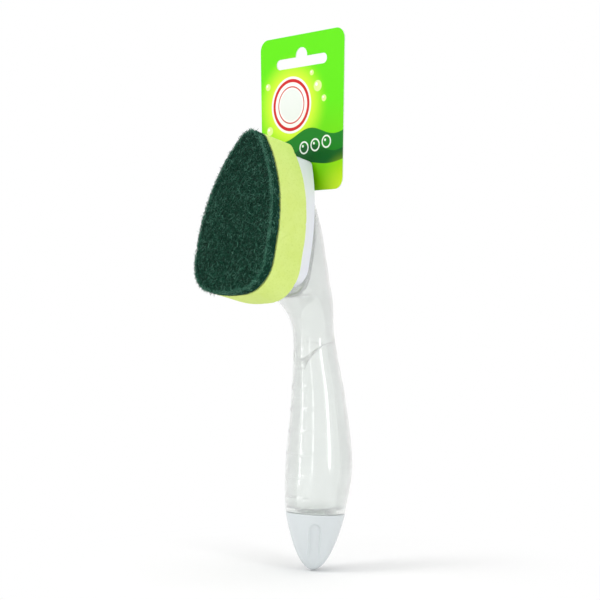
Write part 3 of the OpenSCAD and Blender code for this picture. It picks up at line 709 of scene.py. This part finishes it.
def foam_pores(points):
    """Open pores of a few sizes, and a slow unevenness of the cut."""
    depth = np.empty(len(points))
    for i, p in enumerate(points):
        big = noise.voronoi(Vector(p) / 3.4)[0][0]
        small = noise.voronoi(Vector(p) / 1.5 + Vector((9, 4, 2)))[0][0]
        depth[i] = (-0.26 * max(0.0, 1 - big / 0.3) ** 0.7 - 0.14 * max(0.0, 1 - small / 0.34)
                    + 0.16 * noise.noise(Vector(p) / 9) - 0.14)
    return depth


def mat_lumps(points):
    """Two sizes of lumps, pressed in as a whole so that the fibres stand on them."""
    return np.array([0.28 * noise.noise(Vector(p) / 1.1) + 0.3 * noise.noise(Vector(p) / 4.5) - 0.42
                     for p in points])


foam = soft_slab("sponge_block", PAD_T + 0.15, SPONGE_BACK - 0.1, 0.7, 36, (5, 26), foam_pores)
finish_piece(foam, "refill", FOAM, "sponge", "sponge")
mat = soft_slab("scouring_mat", 0.35, PAD_T - 0.1, 0.9, 12, (44, 5), mat_lumps)
finish_piece(mat, "refill", MAT, "scour", "scour_pad")


def fibres(name, count, seed, spots, sides=3, bends=4):
    """Short springy fibres of the mat, each a thin bent tube. spots gives a root, a lie and a tone."""
    rand = random.Random(seed)
    points, faces, tones = [], [], []
    for _ in range(count):
        root, along, lift, tone, length, radius = spots(rand)
        curl = Vector([rand.uniform(-1, 1) for _ in range(3)]) * 0.55
        step = length / bends
        at, heading, start = Vector(root), Vector(along).normalized(), len(points)
        for k in range(bends + 1):
            side = heading.cross(Vector(lift)).normalized()
            up = side.cross(heading).normalized()
            slim = radius * (0.75 if k in (0, bends) else 1.0)
            for j in range(sides):
                turn = 2 * math.pi * j / sides
                points.append(at + (side * math.cos(turn) + up * math.sin(turn)) * slim)
                tones.append(tone)
            stray = Vector([rand.uniform(-0.2, 0.2) for _ in range(3)])
            heading = (heading + curl * 0.5 + stray).normalized()
            heading -= Vector(lift) * heading.dot(Vector(lift)) * 0.45
            at = at + heading.normalized() * step
        for k in range(bends):
            for j in range(sides):
                a, b = start + k * sides + j, start + k * sides + (j + 1) % sides
                faces.append((a, b, b + sides, a + sides))
        faces.append(tuple(start + j for j in range(sides - 1, -1, -1)))
        faces.append(tuple(start + bends * sides + j for j in range(sides)))
    mesh = bpy.data.meshes.new(name)
    mesh.from_pydata([tuple(p) for p in place([tuple(p) for p in points])], [], faces)
    mesh.attributes.new("tone", "FLOAT", "POINT").data.foreach_set("value", tones)
    mesh.polygons.foreach_set("use_smooth", [True] * len(mesh.polygons))
    piece = bpy.data.objects.new(name, mesh)
    bpy.context.scene.collection.objects.link(piece)
    return piece


EDGE_LOOP = outline(**SOLE, count=900)
EDGE_NORMAL = outward(EDGE_LOOP)
FACE_OUT = Vector((0, -COS, SIN))


def inside_sole(x, y, inset):
    """How far a place on the face lies inside the outline, past inset."""
    gap = np.linalg.norm(EDGE_LOOP - (x, y), axis=1)
    nearest = int(gap.argmin())
    inward = float(np.dot(EDGE_LOOP[nearest] - (x, y), EDGE_NORMAL[nearest]))
    return inward > inset


def front_spot(rand):
    while True:
        x, y = rand.uniform(-SOLE_HALF, SOLE_HALF), rand.uniform(-SOLE_REACH, SOLE_REACH)
        if inside_sole(x, y, 0.8):
            break
    turn = rand.uniform(0, 2 * math.pi)
    along = Vector((math.cos(turn), math.sin(turn) * SIN, math.sin(turn) * COS))
    along += FACE_OUT * rand.uniform(-0.15, 0.4)
    tone = rand.random() ** 1.7
    root = on_face(x, y, rand.uniform(0.15, 1.0))
    return root, along, FACE_OUT, tone, rand.uniform(1.1, 2.9), rand.uniform(0.06, 0.1)


def rim_spot(rand):
    i = rand.randrange(len(EDGE_LOOP))
    (x, y), (nx, ny) = EDGE_LOOP[i], EDGE_NORMAL[i]
    out = Vector((nx, ny * SIN, ny * COS))
    run = Vector((-ny, nx * SIN, nx * COS))
    depth = rand.uniform(0.2, PAD_T - 0.3)
    lean = rand.uniform(-1, 1)
    along = run * rand.choice((-1, 1)) + FACE_OUT * lean * 0.8 + out * rand.uniform(-0.3, 0.15)
    tone = min(1.0, rand.random() ** 1.2 + (0.3 if depth < 1.8 else 0.12))
    root = on_face(x - nx * rand.uniform(0.3, 0.9), y - ny * rand.uniform(0.3, 0.9), depth)
    return root, along, out, tone, rand.uniform(0.9, 2.1), rand.uniform(0.06, 0.1)


def edge_spot(rand):
    """Pale fibres that stand out along the front edge."""
    i = rand.randrange(len(EDGE_LOOP))
    (x, y), (nx, ny) = EDGE_LOOP[i], EDGE_NORMAL[i]
    inset = rand.uniform(0.3, 1.7)
    turn = rand.uniform(0, 2 * math.pi)
    out, run = Vector((nx, ny * SIN, ny * COS)), Vector((-ny, nx * SIN, nx * COS))
    along = out * math.cos(turn) * 0.4 + run * math.sin(turn) + FACE_OUT * rand.uniform(-0.2, 0.2)
    root = on_face(x - nx * inset, y - ny * inset, rand.uniform(0.0, 0.5))
    return root, along, FACE_OUT, rand.uniform(0.45, 1.0), rand.uniform(0.8, 1.7), rand.uniform(0.05, 0.09)


for name, count, seed, spots in (
        ("mat_fibres_front", 7400, 11, front_spot), ("mat_fibres_deep", 7400, 12, front_spot),
        ("mat_fibres_rim", 6400, 13, rim_spot), ("mat_fibres_edge", 3600, 14, edge_spot)):
    fibre = fibres(name, count, seed, spots)
    finish_piece(fibre, "refill", FIBRE, "scour")

# ---------------------------------------------------------------- white mouldings, valve, gasket and card
finish_piece(sewn_copy("refill_base", "sponge_tray", 0.0005), "refill", TRAY, "white", "refill_base")


def cap():
    """Screw cap with three pressed flutes, its bore, seat and hollow, and the ridge that screws on."""
    turn = np.linspace(0, 2 * math.pi, 240, endpoint=False)
    rim_r = float(cap_radius(RIM_GAP))
    rings = [in_cap(r, turn, depth) for r, depth in (
        (0, HOLLOW_FLOOR), (3, HOLLOW_FLOOR), (6, HOLLOW_FLOOR), (HOLLOW_R - 0.3, HOLLOW_FLOOR),
        (HOLLOW_R, HOLLOW_FLOOR - 0.3), (MOUTH_R, SEAT_DEPTH + 0.1), (MOUTH_R + 0.1, SEAT_DEPTH),
        (BORE_R - 0.1, SEAT_DEPTH), (BORE_R, SEAT_DEPTH - 0.1), (BORE_R, 6), (BORE_R, 0.8),
        (BORE_R + 0.3, RIM_GAP), (13.6, RIM_GAP), (rim_r - 0.35, RIM_GAP),
        (float(cap_radius(0.55)) - 0.1, 0.58))]
    near_tip = SEAM_Z * (1 - np.array([0.055, 0.035, 0.02, 0.01, 0.004, 0.001, 0]))
    third = math.pi / 3
    for depth in np.concatenate([np.linspace(0.75, 4, 8), np.linspace(4.3, 29, 84), near_tip]):
        r = cap_radius(depth)
        off = np.abs((turn - FLUTE_TURN + third) % (2 * third) - third) * r
        off = np.hypot(off, max(FLUTE_TOP - depth, 0))
        press = 1 - np.clip((off - FLUTE_HALF) / FLUTE_EDGE, 0, 1)
        fade = 1 - np.clip((depth - FLUTE_FADE) / FLUTE_FADE_LEN, 0, 1)
        pressed = FLUTE_DEPTH * press ** 2 * (3 - 2 * press) * fade ** 2 * (3 - 2 * fade)
        rings.append(in_cap(r - pressed, turn, depth))
    piece = smooth(grid_piece("fluted_cap", rings), 45)
    return joined(piece, thread("cap_thread", BORE_R + 0.4, FILLER_R + 0.3, 180))


finish_piece(cap(), "cap", CAP, "cap", "end_cap")
for node, material in (("outlet_valve", SILICONE), ("valve_ring", TRAY), ("cap_gasket", RUBBER),
                       ("hang_card", CARD)):
    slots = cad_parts[node].data.materials
    slots.clear()
    slots.append(material)

# ---------------------------------------------------------------- studio
fresh()
bpy.ops.mesh.primitive_plane_add(size=6, location=(0, 0, cad_box[0][2] - 0.0005))
floor = bpy.context.object
floor.name = "studio_floor"
floor.data.materials.append(studio_floor())


def lamp(name, kind, place_m, aim_m, power, size):
    light = bpy.data.lights.new(name, kind)
    light.energy = power
    light.shape, light.size, light.size_y = "RECTANGLE", size[0], size[1]
    thing = bpy.data.objects.new(name, light)
    bpy.context.scene.collection.objects.link(thing)
    thing.location = place_m
    thing.rotation_euler = (Vector(aim_m) - Vector(place_m)).to_track_quat("-Z", "Y").to_euler()


lamp("key_panel", "AREA", (-0.55, -0.95, 0.75), (0, 0.03, -0.02), 6.5, (0.5, 0.9))
lamp("side_strip", "AREA", (1.05, -0.1, 0.25), (0, 0.05, -0.05), 3.5, (0.18, 0.9))
lamp("front_strip", "AREA", (-0.45, -0.97, -0.05), (0, 0.05, -0.12), 1.3, (0.07, 0.7))
lamp("near_strip", "AREA", (0.49, -1.1, -0.05), (0, 0.05, -0.12), 0.6, (0.12, 0.5))
lamp("top_panel", "AREA", (0.1, 0.1, 1.1), (0, 0.03, 0), 4.5, (0.9, 0.9))

world = bpy.data.worlds.new("studio")
bpy.context.scene.world = world
world.use_nodes = True
sky = world.node_tree
background = sky.nodes["Background"]
sky.links.new((seen_directly(sky) * 0.45 + 0.55).out, background.inputs["Strength"])
background.inputs["Color"].default_value = (1, 1, 1, 1)

camera = bpy.data.objects.new("camera", bpy.data.cameras.new("camera"))
bpy.context.scene.collection.objects.link(camera)
camera.data.sensor_width, camera.data.lens = 36, 88.32
camera.location = (0.5723, -0.5071, -0.0462)
camera.rotation_euler = (math.radians(90), 0, math.radians(46))
bpy.context.scene.camera = camera
bpy.context.scene.view_settings.view_transform = "Standard"
